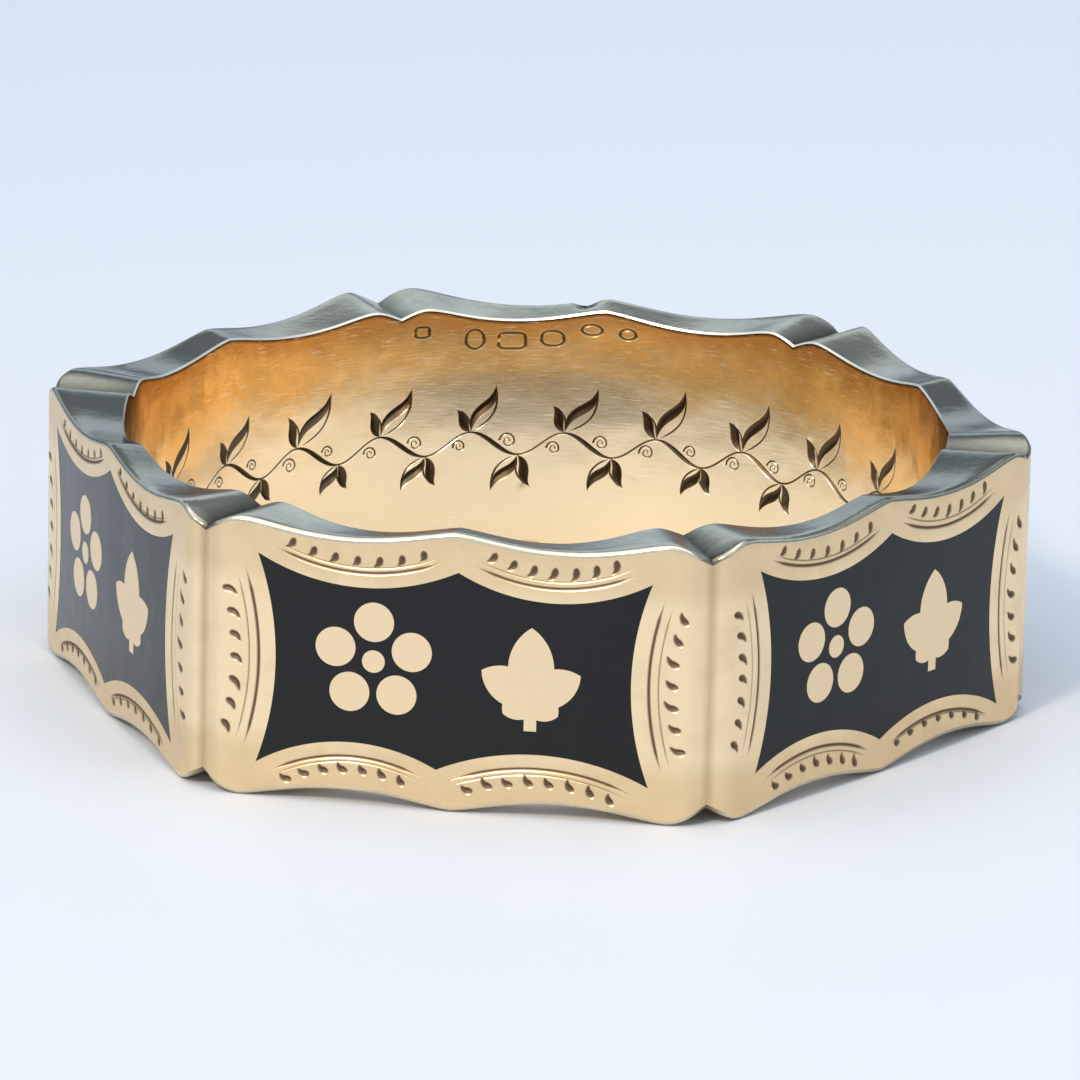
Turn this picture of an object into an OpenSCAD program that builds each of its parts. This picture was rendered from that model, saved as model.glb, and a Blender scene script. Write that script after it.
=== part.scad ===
// Six-sided gold band ring, lying on its side, with a black enamel field let into each side.
// Millimetres. Z is the finger's axis, the floor is Z = 0, and the front side faces -Y.

/* [Finger hole] */
// Diameter of the round hole for the finger
finger_d = 17.6; // [16:0.2:19]

/* [Band] */
// Length of each of the six sides, from corner to corner
side_len = 10.8; // [10.6:0.1:11.4]
// How far the middle of a side swells out from its straight line
side_swell = 0.22; // [0.1:0.02:0.4]
// Height of the band, crest to crest
band_h = 6.0; // [5.4:0.1:7]
// Radius that the sharp corners are worn back to
corner_r = 10.6; // [10.5:0.05:10.7]

/* [Scalloped rims] */
// Depth of the two hollows in the upper rim of each side
upper_dip = 0.38; // [0.1:0.02:0.5]
// Depth of the two hollows in the lower rim of each side
lower_dip = 0.26; // [0.1:0.02:0.5]
// Distance from the middle of a side to the crest near its corner
shoulder_x = 4.5; // [4.2:0.1:4.8]
// Width of the land that is left on each crest
crest_land = 0.4; // [0.2:0.05:0.6]
// Depth of the shallow valley across the rim at each corner
valley_depth = 0.22; // [0.1:0.02:0.4]
// Width of the cut line down each corner
corner_cut_w = 0.3; // [0.2:0.05:0.5]
// Depth of the cut line down each corner
corner_cut_depth = 0.16; // [0.1:0.02:0.3]

/* [Enamel fields] */
// Half of the width of a field, at its corners
field_half_w = 4.1; // [3.8:0.05:4.2]
// Half of the height of a field, at its corners and its points
field_half_h = 2.2; // [2:0.05:2.3]
// How far the gold lobes above and below swell into a field
lobe_rise = 0.52; // [0.2:0.02:0.6]
// How far the gold lobes at the two ends swell into a field
end_rise = 0.4; // [0.2:0.02:0.5]
// Depth of the cell that holds the enamel, at the middle of a side
cell_depth = 0.4; // [0.2:0.02:0.45]
// Space left all round the enamel in its cell
enamel_gap = 0.03; // [0.02:0.01:0.05]

/* [Gold flower and leaf] */
// Distance of the flower and of the leaf from the middle of the side
motif_x = 1.64; // [1.5:0.02:1.7]
// Height of both above the middle of the field
motif_rise = 0.12; // [0:0.02:0.2]
// Radius of each round petal
petal_r = 0.42; // [0.3:0.01:0.44]
// Radius of the ring on which the petals' centres lie
petal_ring_r = 0.84; // [0.82:0.01:0.9]
// Radius of the flower's round middle
flower_eye_r = 0.24; // [0.1:0.01:0.28]
// Height of the leaf's point, from where its lobes meet
leaf_len = 1.75; // [1.5:0.05:1.8]
// Widest part of the leaf's middle lobe
leaf_w = 0.95; // [0.8:0.05:1.1]
// How far the lobes meet below the middle of the leaf
leaf_sink = 0.55; // [0.4:0.05:0.6]
// Length of the stalk below the leaf
stalk_len = 0.7; // [0.4:0.05:0.8]
// Width of the stalk
stalk_w = 0.26; // [0.18:0.02:0.3]

/* [Hidden] */
$fn = 96;
FINE = 720;
SIDES = 6;
TURN = 360 / SIDES;
// Clearance that a cutter runs past a face
OVER = 1;
// How far the blank of a field reaches past its points, before the lobes cut it back
BLANK = 0.5;

// How each hand-cut field strays from the even one: the shifts of its points up or down,
// and of its two middle points along the side. One row for each side, from the front
// one, counterclockwise seen from above.
// [top left, top middle, top right, low left, low middle, low right, top mid x, low mid x]
FIELD_STRAYS = [
  [ 0.05, -0.05, -0.05, -0.05,  0.10,  0.00,  0.10, -0.30],
  [ 0.05,  0.00, -0.05,  0.10, -0.05, -0.25,  0.10, -0.10],
  [-0.05,  0.05,  0.00,  0.00,  0.05, -0.05, -0.10,  0.10],
  [ 0.00, -0.05,  0.05,  0.05, -0.05,  0.00,  0.15,  0.05],
  [ 0.05,  0.05, -0.05, -0.05,  0.00,  0.05, -0.05, -0.15],
  [ 0.05,  0.25, -0.05, -0.20, -0.15, -0.20,  0.15, -0.15]
];
TOP_LEFT = 0;
TOP_MID = 1;
TOP_RIGHT = 2;
LOW_LEFT = 3;
LOW_MID = 4;
LOW_RIGHT = 5;
TOP_MID_X = 6;
LOW_MID_X = 7;

// The lobes of the ivy leaf, as parts of the middle one; every row but the first is drawn
// on both hands: [length, width, turn from upright in degrees]
LEAF_LOBES = [
  [1.00, 1.00,   0],
  [0.80, 0.85,  62],
  [0.52, 0.70, 122]
];
LENGTH = 0;
WIDTH = 1;
TURN_DEG = 2;
// How far a lobe's root lies past the point where the lobes meet, as a part of leaf_w
LOBE_ROOT = 0.25;

hole_r = finger_d / 2;
// Distance of a side's middle from the axis, and the radius of its swelling outside
flat_r = side_len / 2 / tan(TURN / 2) + side_swell;
swell_r = arc_r(side_len, side_swell);
mid_h = band_h / 2;
cell_floor = flat_r - cell_depth;

// The two scallops of a side: each lies between the middle crest and a shoulder crest
lobe_mid_x = shoulder_x / 2;
lobe_chord = shoulder_x - crest_land;
lobe_turn = atan(lobe_mid_x / flat_r);

// Radius of the arc that stands rise above a chord
function arc_r(chord, rise) = (chord * chord / 4 + rise * rise) / (2 * rise);

// Places what is drawn flat, x along the side and y upwards, on one side of the ring
module on_side(k) {
  rotate([0, 0, k * TURN])
    rotate([90, 0, 0])
      children();
}

// Seen from above: six gently swelling sides, with worn corners and a cut line in each
module band_plan() {
  difference() {
    intersection() {
      circle(r = corner_r, $fn = FINE);
      swelling_sides(0);
    }
    circle(r = hole_r, $fn = FINE);
    for (k = [0 : SIDES - 1])
      rotate((k + 0.5) * TURN)
        polygon([
          [-corner_cut_w / 2, -corner_r - corner_cut_depth / 2],
          [0, corner_cut_depth - corner_r],
          [corner_cut_w / 2, -corner_r - corner_cut_depth / 2]
        ]);
  }
}

// The overlap of six large circles, from side k on, each of which gives a side its swell
module swelling_sides(k) {
  intersection() {
    rotate(k * TURN)
      translate([0, swell_r - flat_r])
        circle(r = swell_r, $fn = FINE);
    if (k < SIDES - 1)
      swelling_sides(k + 1);
  }
}

// One hollow across a rim, round like the cut of a half-round file, on a radial line
module scallop(dip, upper) {
  r = arc_r(lobe_chord, dip);
  height = upper ? band_h - dip + r : dip - r;
  translate([0, 0, height])
    rotate([90, 0, 0])
      translate([0, 0, hole_r - OVER])
        cylinder(r = r, h = corner_r - hole_r + 2 * OVER, $fn = FINE);
}

module scallops() {
  for (k = [0 : SIDES - 1], hand = [-1, 1])
    rotate([0, 0, k * TURN + hand * lobe_turn]) {
      scallop(upper_dip, true);
      scallop(lower_dip, false);
    }
}

// The shallow valleys across both rims at the corners, between two shoulders. The flanks
// run on past the rim, so that they leave a clean edge there.
module corner_valleys() {
  half = side_len / 2 - shoulder_x - crest_land / 2;
  past = half * OVER / valley_depth;
  for (k = [0 : SIDES - 1], upper = [0, 1])
    rotate([0, 0, (k + 0.5) * TURN])
      translate([0, 0, upper * band_h])
        mirror([0, 0, 1 - upper])
          rotate([90, 0, 0])
            translate([0, 0, hole_r - OVER])
              linear_extrude(corner_r - hole_r + 2 * OVER)
                polygon([[0, -valley_depth], [half + past, OVER], [-half - past, OVER]]);
}

// Outline of a field: what the six round lobes of the gold leave between them. Each lobe
// runs from one of the field's points to the next. The inset draws it smaller all round.
module field(k, inset) {
  s = FIELD_STRAYS[k];
  top = mid_h + field_half_h;
  low = mid_h - field_half_h;
  a = [-field_half_w, top + s[TOP_LEFT]];
  b = [s[TOP_MID_X], top + s[TOP_MID]];
  c = [field_half_w, top + s[TOP_RIGHT]];
  d = [field_half_w, low + s[LOW_RIGHT]];
  e = [s[LOW_MID_X], low + s[LOW_MID]];
  f = [-field_half_w, low + s[LOW_LEFT]];
  difference() {
    translate([-field_half_w - BLANK, low - BLANK])
      square([2 * (field_half_w + BLANK), top - low + 2 * BLANK]);
    lobe(a, b, lobe_rise, inset);
    lobe(b, c, lobe_rise, inset);
    lobe(c, d, end_rise, inset);
    lobe(d, e, lobe_rise, inset);
    lobe(e, f, lobe_rise, inset);
    lobe(f, a, end_rise, inset);
  }
}

// The circle whose edge runs through two points and swells to the right of the way between them
module lobe(from, to, rise, inset) {
  way = to - from;
  chord = norm(way);
  r = arc_r(chord, rise);
  outward = [-way[1], way[0]] / chord;
  translate((from + to) / 2 + outward * (r - rise))
    circle(r = r + inset, $fn = FINE);
}

// Five round petals about a round middle, grown by extra all round
module flower(extra) {
  circle(r = flower_eye_r + extra);
  for (n = [0 : 4])
    rotate(90 + n * 72)
      translate([petal_ring_r, 0])
        circle(r = petal_r + extra);
}

// An ivy leaf of five pointed lobes on a stalk, grown by extra all round
module leaf(extra) {
  translate([0, -leaf_sink]) {
    for (lobe_row = LEAF_LOBES, hand = [-1, 1])
      if (lobe_row[TURN_DEG] > 0 || hand > 0)
        leaf_lobe(leaf_len * lobe_row[LENGTH], leaf_w * lobe_row[WIDTH],
          hand * lobe_row[TURN_DEG], extra);
    translate([-stalk_w / 2 - extra, -stalk_len - extra])
      square([stalk_w + 2 * extra, stalk_len + leaf_w / 2 + extra]);
  }
}

// One pointed lobe of the leaf, where two circles overlap. Its root lies a little below
// the point where the lobes meet, so that they grow together.
module leaf_lobe(length, width, turn, extra) {
  r = arc_r(length, width / 2);
  rotate(turn)
    translate([0, length / 2 - leaf_w * LOBE_ROOT])
      intersection() {
        translate([width / 2 - r, 0])
          circle(r = r + extra, $fn = FINE);
        translate([r - width / 2, 0])
          circle(r = r + extra, $fn = FINE);
      }
}

// The gold that is left standing in a field, grown by extra all round
module motifs(extra) {
  translate([-motif_x, mid_h + motif_rise])
    flower(extra);
  translate([motif_x, mid_h + motif_rise])
    leaf(extra);
}

// The cell cut into a side for the enamel
module cell(k) {
  on_side(k)
    translate([0, 0, cell_floor])
      linear_extrude(cell_depth + OVER)
        difference() {
          field(k, 0);
          motifs(0);
        }
}

// The whole gold band, one solid, with its cells open
module band() {
  color("#dcb877")
    difference() {
      linear_extrude(band_h)
        band_plan();
      scallops();
      corner_valleys();
      for (k = [0 : SIDES - 1])
        cell(k);
    }
}

// The enamel of one side, ground flush with the swelling gold
module enamel(k) {
  color("#26272b")
    intersection() {
      on_side(k)
        translate([0, 0, cell_floor + enamel_gap])
          linear_extrude(cell_depth)
            difference() {
              field(k, enamel_gap);
              motifs(enamel_gap);
            }
      rotate([0, 0, k * TURN])
        translate([0, swell_r - flat_r, 0])
          cylinder(r = swell_r, h = band_h, $fn = FINE);
    }
}

band();
enamel(0);  // enamel_front
enamel(1);  // enamel_front_right
enamel(2);  // enamel_back_right
enamel(3);  // enamel_back
enamel(4);  // enamel_back_left
enamel(5);  // enamel_front_left
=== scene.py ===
import math

import bmesh
import bpy
import numpy as np
from mathutils import Matrix, Vector
from mathutils.geometry import delaunay_2d_cdt


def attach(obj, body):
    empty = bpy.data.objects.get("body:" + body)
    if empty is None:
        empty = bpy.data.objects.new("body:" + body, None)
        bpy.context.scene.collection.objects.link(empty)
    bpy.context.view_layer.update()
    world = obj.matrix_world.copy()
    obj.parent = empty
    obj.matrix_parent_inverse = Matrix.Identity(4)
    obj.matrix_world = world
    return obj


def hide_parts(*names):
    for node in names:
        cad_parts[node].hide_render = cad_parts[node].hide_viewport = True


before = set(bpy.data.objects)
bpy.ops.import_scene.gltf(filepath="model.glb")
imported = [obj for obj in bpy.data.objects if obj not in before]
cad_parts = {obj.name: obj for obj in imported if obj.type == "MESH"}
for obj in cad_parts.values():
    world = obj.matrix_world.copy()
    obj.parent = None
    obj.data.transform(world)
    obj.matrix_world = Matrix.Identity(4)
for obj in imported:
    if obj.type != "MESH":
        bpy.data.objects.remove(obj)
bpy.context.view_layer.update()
scene = bpy.context.scene
MM = 0.001

# THE BAND: ITS GOLD. Yellow gold of about 15 carat, bent from thick strip, filed, engraved
# and polished. Outside it is worn to a soft satin; the hole keeps fine scratches that run
# round with the finger, an orange tarnish near the rims and dark dirt in its cuts.


def add(tree, kind, feeds=None, **settings):
    """Adds a node with its settings; feeds gives a number or a link for each of its inputs."""
    node = tree.nodes.new(kind)
    for name, value in settings.items():
        setattr(node, name, value)
    for socket, value in (feeds or {}).items():
        if isinstance(value, bpy.types.NodeSocket):
            tree.links.new(value, node.inputs[socket])
        else:
            node.inputs[socket].default_value = value
    return node


def colour(code):
    """An sRGB hex colour as the linear numbers that a socket takes."""
    parts = [int(code[i : i + 2], 16) / 255 for i in (1, 3, 5)]
    return [p / 12.92 if p <= 0.04045 else ((p + 0.055) / 1.055) ** 2.4 for p in parts] + [1.0]


# what a table's step is made with: the node, its settings, the inputs that its terms feed, and
# its output. A fade follows a value between two limits, from one share to another; a coat lays
# a colour over a colour by its share; a noise has this many patches in a millimetre, with so
# much finer detail; a relief stands this high; away is a distance. The rest are plain sums.
STEPS = {
    "FADE": ("ShaderNodeMapRange", {}, (0, 1, 2, 3, 4), 0),
    "SOFT FADE": ("ShaderNodeMapRange", {"interpolation_type": "SMOOTHSTEP"}, (0, 1, 2, 3, 4), 0),
    "COAT": ("ShaderNodeMix", {"data_type": "RGBA"}, (0, 6, 7), 2),
    "NOISE": ("ShaderNodeTexNoise", {}, ("Vector", "Scale", "Detail", "Roughness", "Distortion"), 0),
    "RELIEF": ("ShaderNodeBump", {}, ("Height", "Distance", "Normal"), 0),
    "POINT": ("ShaderNodeCombineXYZ", {}, (0, 1, 2), 0),
    "AWAY": ("ShaderNodeVectorMath", {"operation": "DISTANCE"}, (0, 1), 1),
}


def work_out(tree, rows, known):
    """Adds a table's steps to a tree: each row is a result's name, what is done, and with what."""
    for result, step, *terms in rows:
        kind, settings, sockets, output = STEPS.get(
            step, ("ShaderNodeMath", {"operation": step}, (0, 1, 2), 0))
        values = [known[t] if t in known else colour(t) if isinstance(t, str) else t for t in terms]
        known[result] = add(tree, kind, dict(zip(sockets, values)), **settings).outputs[output]


def material(name, look, rows, measures=()):
    """A finish with an even look, to which its steps, in millimetres, give tone, roughness, relief."""
    made = bpy.data.materials.new(name)
    made.use_nodes = True
    tree = made.node_tree
    skin = tree.nodes["Principled BSDF"]
    for socket, value in look.items():
        skin.inputs[socket].default_value = value
    here = add(tree, "ShaderNodeTexCoord").outputs["Object"]
    place = add(tree, "ShaderNodeVectorMath", {0: here, "Scale": 1 / MM}, operation="SCALE").outputs[0]
    known = dict(zip("xyz", add(tree, "ShaderNodeSeparateXYZ", {0: place}).outputs), place=place)
    for measure in measures:
        known[measure] = add(tree, "ShaderNodeAttribute", attribute_name=measure).outputs["Fac"]
    work_out(tree, rows, known)
    for socket, result in (("Base Color", "tone"), ("Roughness", "roughness"), ("Normal", "relief")):
        if result in known:
            tree.links.new(known[result], skin.inputs[socket])
    return made


def gold(tone, roughness):
    """What every gold here starts from."""
    return {"Metallic": 1.0, "Base Color": colour(tone), "Roughness": roughness}


def round_lines(length, spacing):
    """Steps to noise drawn out along the way round the finger, in lines of this length and spacing."""
    return [
        ("x sq", "MULTIPLY", "x", "x"),
        ("r sq", "MULTIPLY_ADD", "y", "y", "x sq"),
        ("r", "SQRT", "r sq"),
        ("across", "ADD", "r", "z"),
        ("u", "DIVIDE", "x", length),
        ("v", "DIVIDE", "y", length),
        ("w", "DIVIDE", "across", spacing),
        ("drawn out", "POINT", "u", "v", "w"),
        ("lines", "NOISE", "drawn out", 1.0, 2.0),
    ]


def near_corner(result, reach, share):
    """Steps to a share on the ring's six corner lines that fades out within this part of a side."""
    return [
        ("angle", "ARCTAN2", "y", "x"),
        ("three", "MULTIPLY", "angle", 3.0),
        ("wave", "SINE", "three"),
        ("off", "ABSOLUTE", "wave"),
        (result, "FADE", "off", 0.0, reach, share, 0.0),
    ]


# the rims: filed, then worn to a soft satin that mirrors the room as grey, with a thin film
# of dirt in patches; painted shade darkens the corner valleys, the dent, and the rims at the
# left and right; lines of 2 mm run round them
DENT_AT = (-0.55, 9.4, 5.75)
rim_gold = material("satin_gold_of_the_rims", gold("#ecdabb", 0.3), [
    ("patches", "NOISE", "place", 0.9, 6.0, 0.68),
    ("film", "FADE", "patches", 0.36, 0.7, 0.0, 0.5),
    ("filmed", "COAT", "film", "#ecdabb", "#a8a08a"),
    # painted shade: the rims at the left and right are darkened for the dimmer room they mirror
    ("toward back", "FADE", "y", 4.0, 8.0, 0.62, 0.0),
    ("off front", "FADE", "y", -8.0, -5.0, 0.1, 1.0),
    ("rim side shade", "MULTIPLY", "toward back", "off front"),
    ("rim sides shaded", "COAT", "rim side shade", "filmed", "#8f8a7c"),
    # painted shade in the valleys down the ring's six corners
    *near_corner("valley shade", 0.13, 0.9),
    ("valleys shaded", "COAT", "valley shade", "rim sides shaded", "#544b38"),
    # painted shade in the dent
    ("off dent", "AWAY", "place", DENT_AT),
    ("dent", "FADE", "off dent", 0.15, 0.36, 0.9, 0.0),
    ("tone", "COAT", "dent", "valleys shaded", "#3d3426"),
    ("roughness", "FADE", "patches", 0.0, 1.0, 0.1, 0.3),
    *round_lines(2.0, 0.05),
    ("fine", "RELIEF", "lines", 0.002 * MM),
    ("knocks", "NOISE", "place", 2.6, 4.0, 0.6),
    ("relief", "RELIEF", "knocks", 0.01 * MM, "fine"),
])

# the narrow bevel round the hole's mouth: burnished by wear, and painted almost white as a painted
# highlight
bevel_gold_with_painted_highlight = material("burnished_gold_of_the_bevel_with_painted_highlight", gold("#fff3de", 0.36), [
    ("nicks", "NOISE", "place", 5.0, 3.0),
    ("relief", "RELIEF", "nicks", 0.01 * MM),
])

# THE BAND: ITS FORM. Six gently swelling sides round a straight hole. Each side has two
# hollows filed across its upper and its lower rim, a shallow valley between its shoulder
# and the next side's, and a cut line down each corner. Sizes are in millimetres.
FORM = {
    "Side length": 10.8,
    "Swell": 0.2198,
    "Worn corner radius": 10.6,
    "Corner wear": 0.06,
    "Corner cut width": 0.5,
    "Corner cut point": 0.12,
    "Corner cut depth": 0.055,
    "Cut point wear": 0.06,
    "Cut edge wear": 0.05,
    "Hole radius": 8.8,
    "Shoulder": 4.5,
    "Crest land": 0.4,
    "Crest rounding": 0.3,
    "Valley depth": 0.17,
    "Valley fall": 0.13,
    "Valley slope": 0.3,
    "Valley rounding": 0.16,
    "Outer slope": 0.12,
    "Bevel width": 0.03,
    "Bevel height": 0.045,
    "Edge rounding": 0.11,
    "Inward fall": 0.09,
    "Dent x": DENT_AT[0],
    "Dent y": DENT_AT[1],
    "Dent size": 0.32,
}
RIMS = {
    "upper": {"Height": 6.009, "Hand": 1.0, "Dip": 0.29, "Dent depth": 0.15},
    "lower": {"Height": -0.016, "Hand": -1.0, "Dip": 0.3, "Dent depth": 0.0},
}
# what is given as it is, and not in millimetres
RATIOS = ("Hand", "Valley slope", "Outer slope", "Nick slant", "Slant", "Count", "Seed")
SIXTH = math.pi / 3
# stations round each side, and rows across a rim: one step for the bevel, then land and edge
PER_SIDE = 120
LAND_STEPS, EDGE_STEPS = 5, 5
ROWS = 2 + LAND_STEPS + EDGE_STEPS
# how far the stations crowd towards the corners, from 0 to 1
CROWDING = 0.55


def new_tree(name, sizes):
    """A tree with a named input for each size, and these inputs by name."""
    tree = bpy.data.node_groups.new(name, "GeometryNodeTree")
    tree.interface.new_socket(name="Geometry", in_out="INPUT", socket_type="NodeSocketGeometry")
    for size in sizes:
        kind = "NodeSocketInt" if size in ("Seed", "Count") else "NodeSocketFloat"
        tree.interface.new_socket(name=size, in_out="INPUT", socket_type=kind)
    tree.interface.new_socket(name="Geometry", in_out="OUTPUT", socket_type="NodeSocketGeometry")
    sockets = add(tree, "NodeGroupInput").outputs
    return tree, {size: sockets[size] for size in sizes}


rim_tree, known = new_tree("scalloped_rim", [*FORM, *RIMS["upper"]])
grid = add(rim_tree, "GeometryNodeMeshGrid", {
    "Size X": 1.0, "Size Y": 1.0, "Vertices X": ROWS, "Vertices Y": 6 * PER_SIDE + 1,
})
here = add(rim_tree, "GeometryNodeInputPosition").outputs[0]
place = add(rim_tree, "ShaderNodeSeparateXYZ", {0: here})
known["across"] = place.outputs["X"]
known["round"] = place.outputs["Y"]
work_out(rim_tree, [
    # where the station lies on its side: -1 and 1 at the corners, stations closer there
    ("way", "ADD", "round", 0.5),
    # a hair more than six, so that a corner's station never falls to the side before
    ("sides", "MULTIPLY_ADD", "way", 6.0, 1e-5),
    ("side", "FLOOR", "sides"),
    ("part", "FRACT", "sides"),
    ("even", "MULTIPLY_ADD", "part", 2.0, -1.0),
    ("arc", "MULTIPLY", "even", math.pi / 2),
    ("sine", "SINE", "arc"),
    ("close", "MULTIPLY", "sine", CROWDING),
    ("spread", "MULTIPLY_ADD", "even", 1 - CROWDING, "close"),
    ("turn", "MULTIPLY", "spread", SIXTH / 2),
    ("off", "ABSOLUTE", "turn"),
    # the swelling side, seen from above: a large circle about a point behind the axis
    ("half", "MULTIPLY", "Side length", 0.5),
    ("flat", "MULTIPLY_ADD", "half", 1 / math.tan(SIXTH / 2), "Swell"),
    ("half sq", "MULTIPLY", "half", "half"),
    ("rise sq", "MULTIPLY_ADD", "Swell", "Swell", "half sq"),
    ("bow", "DIVIDE", "rise sq", "Swell"),
    ("bow r", "MULTIPLY", "bow", 0.5),
    ("centre", "SUBTRACT", "flat", "bow r"),
    ("cos", "COSINE", "turn"),
    ("sin", "SINE", "turn"),
    ("along", "MULTIPLY", "centre", "cos"),
    ("aside", "MULTIPLY", "centre", "sin"),
    ("aside sq", "MULTIPLY", "aside", "aside"),
    ("bow sq", "MULTIPLY", "bow r", "bow r"),
    ("left", "SUBTRACT", "bow sq", "aside sq"),
    ("root", "SQRT", "left"),
    ("side r", "ADD", "along", "root"),
    # its corners are worn round, and a line is cut down each
    ("worn r", "SMOOTH_MIN", "side r", "Worn corner radius", "Corner wear"),
    ("to corner", "SUBTRACT", SIXTH / 2, "off"),
    ("corner sin", "SINE", "to corner"),
    ("corner way", "MULTIPLY", "corner sin", "worn r"),
    ("cut steep", "DIVIDE", "Corner cut point", "Corner cut width"),
    ("cut slope", "MULTIPLY", "cut steep", -2.0),
    ("cut flank", "MULTIPLY_ADD", "corner way", "cut slope", "Corner cut point"),
    ("cut round", "SMOOTH_MIN", "cut flank", "Corner cut depth", "Cut point wear"),
    ("cut", "SMOOTH_MAX", "cut round", 0.0, "Cut edge wear"),
    ("outer r", "SUBTRACT", "worn r", "cut"),
    # the hollows: a round file's arc on a radial line, between crests that wear rounded off
    ("tan", "TANGENT", "off"),
    ("on side", "MULTIPLY", "tan", "flat"),
    ("lobe mid", "MULTIPLY", "Shoulder", 0.5),
    ("off lobe", "SUBTRACT", "on side", "lobe mid"),
    ("off sq", "MULTIPLY", "off lobe", "off lobe"),
    ("chord", "SUBTRACT", "Shoulder", "Crest land"),
    ("half chord", "MULTIPLY", "chord", 0.5),
    ("chord sq", "MULTIPLY", "half chord", "half chord"),
    ("dip sq", "MULTIPLY_ADD", "Dip", "Dip", "chord sq"),
    ("file", "DIVIDE", "dip sq", "Dip"),
    ("file r", "MULTIPLY", "file", 0.5),
    ("file sq", "MULTIPLY", "file r", "file r"),
    ("file left", "SUBTRACT", "file sq", "off sq"),
    ("file root", "SQRT", "file left"),
    ("file rise", "SUBTRACT", "file r", "file root"),
    ("hollow", "SUBTRACT", "file rise", "Dip"),
    ("crests", "SMOOTH_MIN", "hollow", 0.0, "Crest rounding"),
    # across the rim: a narrow bevel at the hole, the land, then the rounded outer edge
    ("steps", "MULTIPLY_ADD", "across", ROWS - 1.0, (ROWS - 1.0) / 2),
    ("on bevel", "MINIMUM", "steps", 1.0),
    ("past bevel", "SUBTRACT", "steps", "on bevel"),
    ("land step", "MINIMUM", "past bevel", float(LAND_STEPS)),
    ("on land", "DIVIDE", "land step", float(LAND_STEPS)),
    ("past land", "SUBTRACT", "past bevel", "land step"),
    ("bend", "MULTIPLY", "past land", math.pi / 2 / EDGE_STEPS),
    ("bend sin", "SINE", "bend"),
    ("bend cos", "COSINE", "bend"),
    ("land from", "ADD", "Hole radius", "Bevel width"),
    ("land to", "SUBTRACT", "outer r", "Edge rounding"),
    ("land wide", "SUBTRACT", "land to", "land from"),
    ("r bevel", "MULTIPLY_ADD", "Bevel width", "on bevel", "Hole radius"),
    ("r land", "MULTIPLY_ADD", "land wide", "on land", "r bevel"),
    ("radius", "MULTIPLY_ADD", "Edge rounding", "bend sin", "r land"),
    # the valley at a corner grows deeper and steeper outward
    ("to end", "SUBTRACT", "half", "on side"),
    ("slope", "MULTIPLY_ADD", "on land", "Outer slope", "Valley slope"),
    ("flank", "MULTIPLY", "to end", "slope"),
    ("valley deep", "MULTIPLY_ADD", "on land", "Valley fall", "Valley depth"),
    ("valley", "SUBTRACT", "flank", "valley deep"),
    ("rim h", "SMOOTH_MIN", "crests", "valley", "Valley rounding"),
    ("land left", "SUBTRACT", 1.0, "on land"),
    ("fallen", "MULTIPLY", "Inward fall", "land left"),
    ("bevel left", "SUBTRACT", 1.0, "on bevel"),
    ("z bevel", "MULTIPLY_ADD", "Bevel height", "bevel left", "fallen"),
    ("bend left", "SUBTRACT", 1.0, "bend cos"),
    ("z drop", "MULTIPLY_ADD", "Edge rounding", "bend left", "z bevel"),
    ("start", "MULTIPLY_ADD", "side", SIXTH, -math.pi / 2),
    ("angle", "ADD", "start", "turn"),
    ("angle cos", "COSINE", "angle"),
    ("angle sin", "SINE", "angle"),
    ("x", "MULTIPLY", "radius", "angle cos"),
    ("y", "MULTIPLY", "radius", "angle sin"),
    # one dent in the upper rim's outer edge, at the back
    ("dent dx", "SUBTRACT", "x", "Dent x"),
    ("dent dy", "SUBTRACT", "y", "Dent y"),
    ("dent dx sq", "MULTIPLY", "dent dx", "dent dx"),
    ("dent sq", "MULTIPLY_ADD", "dent dy", "dent dy", "dent dx sq"),
    ("dent off", "SQRT", "dent sq"),
    ("dent part", "DIVIDE", "dent off", "Dent size"),
    ("dent in", "SUBTRACT", 1.0, "dent part"),
    ("dent on", "MAXIMUM", "dent in", 0.0),
    ("dent", "MULTIPLY", "dent on", "Dent depth"),
    ("z land", "SUBTRACT", "rim h", "z drop"),
    ("z off", "SUBTRACT", "z land", "dent"),
    ("z", "MULTIPLY_ADD", "z off", "Hand", "Height"),
    ("spot", "POINT", "x", "y", "z"),
], known)
formed = add(rim_tree, "GeometryNodeSetPosition", {"Geometry": grid.outputs[0], "Position": known["spot"]})
real = add(rim_tree, "GeometryNodeRealizeInstances", {"Geometry": formed.outputs[0]})
surfaced = add(rim_tree, "GeometryNodeSetMaterial", {"Geometry": real.outputs[0], "Material": rim_gold})
add(rim_tree, "NodeGroupOutput", {"Geometry": surfaced.outputs[0]})


def grow(form_tree, values):
    """Runs a tree on an empty piece, with its sizes given in millimetres, and returns a plain mesh."""
    holder = bpy.data.objects.new(form_tree.name, bpy.data.meshes.new(form_tree.name))
    scene.collection.objects.link(holder)
    modifier = holder.modifiers.new("form", "NODES")
    modifier.node_group = form_tree
    for socket in form_tree.interface.items_tree:
        if socket.in_out == "INPUT" and socket.name in values:
            value = values[socket.name]
            modifier[socket.identifier] = value if socket.name in RATIOS else value * MM
    scene_now = bpy.context.evaluated_depsgraph_get()
    mesh = bpy.data.meshes.new_from_object(
        holder.evaluated_get(scene_now), preserve_all_data_layers=True, depsgraph=scene_now
    )
    holder.modifiers.remove(modifier)
    bpy.data.objects.remove(holder)
    return mesh


def points_of(mesh):
    """A mesh's vertices as an array."""
    flat = np.empty(3 * len(mesh.vertices), dtype=np.float32)
    mesh.vertices.foreach_get("co", flat)
    return flat.reshape(-1, 3).astype(float)


rims = {}
for which, shape in RIMS.items():
    rims[which] = points_of(grow(rim_tree, {**FORM, **shape})).reshape(ROWS, 6 * PER_SIDE + 1, 3) / MM

# THE BAND: ITS ENGRAVED BORDERS. Along each lobe of gold round a field the engraver cut a
# line and a finer one beside the plain polished edge, and behind them a row of slanted nicks
# like commas, each with one push of a graver that lifts out at the end.


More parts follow.
